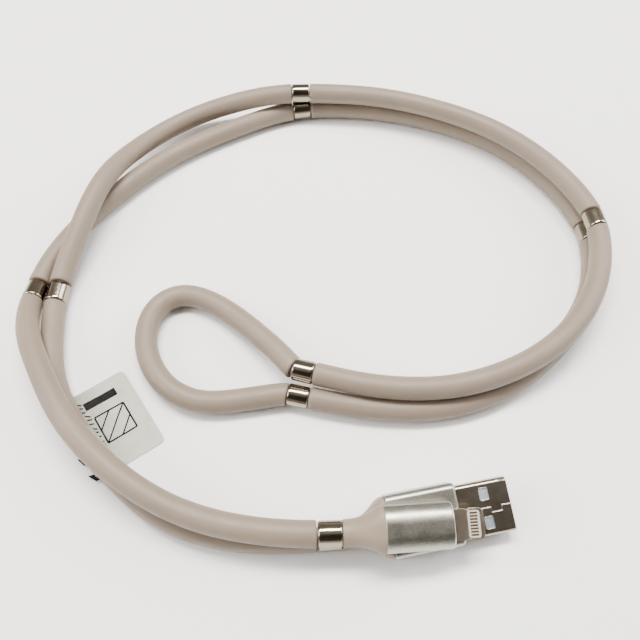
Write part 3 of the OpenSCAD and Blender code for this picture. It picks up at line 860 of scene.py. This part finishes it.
def bead(name, path, r, mat, closed, z, n=8):
    """A thin rounded lip along a flat path at height z."""
    P = [np.array([x, y, z]) for x, y in path]
    m = len(P)
    secs = []
    for i in range(m):
        a = P[(i - 1) % m] if (closed or i > 0) else P[i]
        b = P[(i + 1) % m] if (closed or i < m - 1) else P[i]
        t = unit(b - a)
        s = unit(np.cross([0, 0, 1], t))
        ang = 2 * math.pi * np.arange(n) / n
        secs.append(P[i] + np.outer(np.cos(ang) * r, s) + np.outer(np.sin(ang) * r, [0, 0, 1]))
    v, f = loft(secs, (True, True), wrap=closed)
    return mesh_obj(name, v, f, mat, 60)


lips = []
for y in (-3.15, 3.15):
    for z in (SH - 0.035, -SH + 0.035):
        lips.append(bead("lip", rrect(WA + 0.02, WB + 0.02, WR, 8) + np.array([WX, y]), 0.045, M_SHELL, True, z))
for off in (0.085, -0.085):
    for a, b in zip(SEAM[:-1], SEAM[1:]):
        d = unit(np.array(b, float) - np.array(a, float))
        q = np.array([-d[1], d[0]]) * off
        a2, b2 = np.array(a) + q, np.array(b) + q
        if a2[0] < 8.05:
            a2[0] = 8.05
        b2[0] = min(b2[0], 19.95)
        lips.append(bead("lip", [tuple(a2 + (b2 - a2) * t) for t in (0, 0.5, 1)], 0.035, M_LIP, False, SH - 0.012))
lips = joined("usb_shell_lips", lips)
place(shell, USB_M)
place(lips, USB_M)
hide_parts("usb_shell")
for o in (shell, lips):
    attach(o, "usb_plug")

# tongue: block behind the windows, ribbed tongue in the mouth, four contacts
def block(name, x0, x1, y0, y1, z0, z1, mat, bev=0.12, seg=3):
    v = [(x, y, z) for x in (x0, x1) for y in (y0, y1) for z in (z0, z1)]
    f = [(0, 1, 3, 2), (4, 6, 7, 5), (0, 4, 5, 1), (2, 3, 7, 6), (0, 2, 6, 4), (1, 5, 7, 3)]
    o = mesh_obj(name, v, f, mat, 30)
    if bev:
        bevel(o, bev, seg, 30)
    return o


tongue = [block("t", 6.2, 19.1, -5.6, 5.6, 0.12, 1.93, M_TONGUE, 0.15),
          block("t", 6.2, 12.4, -5.6, 5.6, -1.93, 0.2, M_TONGUE, 0.15)]
for y in (-3.15, 3.15):
    tongue.append(block("t", WX - 0.8, WX + 0.8, y - 1.05, y + 1.05, -1.93, -1.75, M_TONGUE, 0.05))
for i, y in enumerate((-3.5, -1, 1, 3.5)):
    tongue.append(block("t", 12.0, 18.6, y - 0.72, y - 0.60, 0.02, 0.2, M_TONGUE, 0.03, 1))
    tongue.append(block("t", 12.0, 18.6, y + 0.60, y + 0.72, 0.02, 0.2, M_TONGUE, 0.03, 1))
tongue = place(joined("usb_tongue", tongue), USB_M)
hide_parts("usb_insulator")
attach(tongue, "usb_plug")
cons = []
for i, y in enumerate((-3.5, -1, 1, 3.5)):
    x1 = 18.4 if abs(y) > 2 else 17.4
    cons.append(block("c", 8.0, x1, y - 0.5, y + 0.5, -0.02, 0.16, M_GOLD, 0.07))
cons = place(joined("usb_contact_strips", cons), USB_M)
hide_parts("usb_contacts")
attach(cons, "usb_plug")

# ---- tab plug
th = place(housing("tab_housing_skin", 7.4, 5.0, 3.1, 3.9, 3.05, 0.12, 0.42), TAB_M)
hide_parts("tab_housing")
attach(th, "tab_plug")
tb = boot("tab_boot_skin", TAB_M, -1, -7.38, 5.0, 3.1, 3.9, 3.05)
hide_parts("tab_boot")
bend(tb)


def tab_outline(x0, x1, w, r, notch=True, n=8):
    """Plan of the tab: straight sides, rounded nose, a shallow notch in each side."""
    h = w / 2
    pts = [(x0, -h)]
    nx, nr, nd = x1 - 3.55, 0.55, 0.28
    if notch:
        for j in range(n + 1):
            g = math.pi * j / n
            pts.append((nx - nr * math.cos(g), -h + nd * math.sin(g)))
    for j in range(n + 1):
        g = -math.pi / 2 + (math.pi / 2) * j / n
        pts.append((x1 - r + r * math.cos(g), -h + r + r * math.sin(g)))
    for j in range(n + 1):
        g = (math.pi / 2) * j / n
        pts.append((x1 - r + r * math.cos(g), h - r + r * math.sin(g)))
    if notch:
        for j in range(n + 1):
            g = math.pi * j / n
            pts.append((nx + nr * math.cos(g), h - nd * math.sin(g)))
    pts.append((x0, h))
    return np.array(pts)


TX = 7.4 + 6.8
tab = prism("tab_plate_skin", tab_outline(4.6, TX, 6.65, 1.15), -0.75, 0.75)
tab.data.materials.append(M_TAB)
FX0, FX1, FH = 7.4 + 3.25, 7.4 + 5.95, 2.85
pocket = [prism("cut", rrect((FX1 - FX0) / 2, FH, 0.55, 8) + np.array([(FX0 + FX1) / 2, 0]), 0.64, 1.2),
          prism("cut", rrect((FX1 - FX0) / 2, FH, 0.55, 8) + np.array([(FX0 + FX1) / 2, 0]), -1.2, -0.64)]
cut(tab, pocket)
bevel(tab, 0.10, 3, 40)
flats(tab, 0.6)
place(tab, TAB_M)
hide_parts("tab_frame")
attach(tab, "tab_plug")
fields = []
for s in (1, -1):
    z0, z1 = (0.60, 0.775) if s > 0 else (-0.775, -0.60)
    fld = prism("f", rrect((FX1 - FX0) / 2 - 0.015, FH - 0.015, 0.54, 8) + np.array([(FX0 + FX1) / 2, 0]), z0, z1)
    fld.data.materials.append(M_WHITE)
    slots = []
    for i in range(8):
        y = (i - 3.5) * 0.655
        zz = (0.70, 0.9) if s > 0 else (-0.9, -0.70)
        slots.append(prism("cut", rrect(0.88, 0.215, 0.12, 5) + np.array([7.4 + 4.6, y]), *zz))
    cut(fld, slots)
    bevel(fld, 0.03, 2, 40)
    flats(fld, 0.5)
    fields.append(fld)
field = place(joined("tab_contact_fields", fields), TAB_M)
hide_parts("tab_contact_block")
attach(field, "tab_plug")
pads = []
for s in (1, -1):
    for i in range(8):
        y = (i - 3.5) * 0.655
        z0, z1 = (0.62, 0.745) if s > 0 else (-0.745, -0.62)
        o = prism("p", rrect(0.85, 0.195, 0.11, 4) + np.array([7.4 + 4.6, y]), z0, z1)
        o.data.materials.append(M_PAD)
        bevel(o, 0.03, 2, 40)
        pads.append(o)
pads = place(joined("tab_pads", pads), TAB_M)
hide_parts("tab_contacts")
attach(pads, "tab_plug")

# ---- carried-over CAD nodes: sealed inner pieces
CARRY = {"usb_inner_mould": M_WHITE, "tab_inner_mould": M_WHITE, "tab_circuit_board": M_BOARD, "tab_chip": M_BLACK,
         "usb_cable_end": M_CORE, "tab_cable_end": M_CORE}
for p in ("usb", "tab"):
    for c in ("red", "white", "green", "black"):
        CARRY["%s_wire_%s" % (p, c)] = WIRES[c]
for n_, m_ in CARRY.items():
    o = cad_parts[n_]
    if len(o.material_slots) == 0:
        o.data.materials.append(m_)
    for sl in o.material_slots:
        sl.material = m_

# ------------------------------------------------------------------ floor and light
fm = Mat("floor", spec=0.2)
fm.color(fm.mix(fm.rng(fm.noise(6, 2), 0, 1), (0.90, 0.895, 0.885), (0.92, 0.915, 0.905)))
fm.rough(fm.rng(fm.noise(40, 2), 0.75, 0.85))
N = 24
v = [(x, y, 0.0) for x in np.linspace(-2.5, 2.5, N) for y in np.linspace(-2.5, 2.5, N)]
f = [(i * N + j, (i + 1) * N + j, (i + 1) * N + j + 1, i * N + j + 1) for i in range(N - 1) for j in range(N - 1)]
floor = mesh_obj("floor", v, f, fm.m, None, 1.0)


def area(name, loc, target, size, energy, color=(1, 1, 1), size_y=None):
    l = bpy.data.lights.new(name, "AREA")
    l.energy = energy
    l.color = color
    l.size = size
    if size_y:
        l.shape = "RECTANGLE"
        l.size_y = size_y
    o = bpy.data.objects.new(name, l)
    o.location = loc
    o.rotation_euler = (Vector(target) - Vector(loc)).to_track_quat("-Z", "Y").to_euler()
    COL.objects.link(o)
    return o


def far(y, z, d, x=0.0):
    k = d / math.hypot(y, z)
    return (x, 0.05 + y * k, z * k)


area("key", far(0.31, 0.95, 0.80), (0.0, 0.05, 0), 0.62, 17.5, (1.0, 0.972, 0.93), 0.16)
area("fill_left", (-0.95, 0.10, 0.62), (-0.01, 0.05, 0), 0.65, 15.0, (1.0, 0.985, 0.965))
area("fill_right", (0.95, 0.20, 0.62), (-0.01, 0.05, 0), 0.65, 14.0, (0.99, 0.99, 1.0))

w = bpy.data.worlds.new("studio")
bpy.context.scene.world = w
w.use_nodes = True
wn = w.node_tree
bg = wn.nodes["Background"]
tc = wn.nodes.new("ShaderNodeTexCoord")
sep = wn.nodes.new("ShaderNodeSeparateXYZ")
wn.links.new(tc.outputs["Generated"], sep.inputs[0])
ramp = wn.nodes.new("ShaderNodeValToRGB")
mr = wn.nodes.new("ShaderNodeMapRange")
mr.inputs["From Min"].default_value = -1
mr.inputs["From Max"].default_value = 1
wn.links.new(sep.outputs[1], mr.inputs["Value"])
wn.links.new(mr.outputs[0], ramp.inputs[0])
hz = wn.nodes.new("ShaderNodeMapRange")
hz.inputs["From Min"].default_value = 0.20
hz.inputs["From Max"].default_value = 0.34
wn.links.new(sep.outputs[2], hz.inputs["Value"])
sky = wn.nodes.new("ShaderNodeMix")
sky.data_type = "RGBA"
sky.inputs[6].default_value = (0.80, 0.79, 0.77, 1)
wn.links.new(hz.outputs[0], sky.inputs[0])
wn.links.new(ramp.outputs[0], sky.inputs[7])
wn.links.new(sky.outputs[2], bg.inputs[0])
el = ramp.color_ramp.elements
el[0].position = 0.0
el[0].color = (0.10, 0.085, 0.07, 1)
el[1].position = 1.0
el[1].color = (0.34, 0.30, 0.26, 1)
for pos, c in ((0.30, (0.06, 0.05, 0.04, 1)), (0.42, (0.42, 0.41, 0.38, 1)), (0.70, (0.55, 0.52, 0.47, 1)), (0.85, (0.36, 0.32, 0.28, 1))):
    e = el.new(pos)
    e.color = c
bg.inputs[1].default_value = 1.15
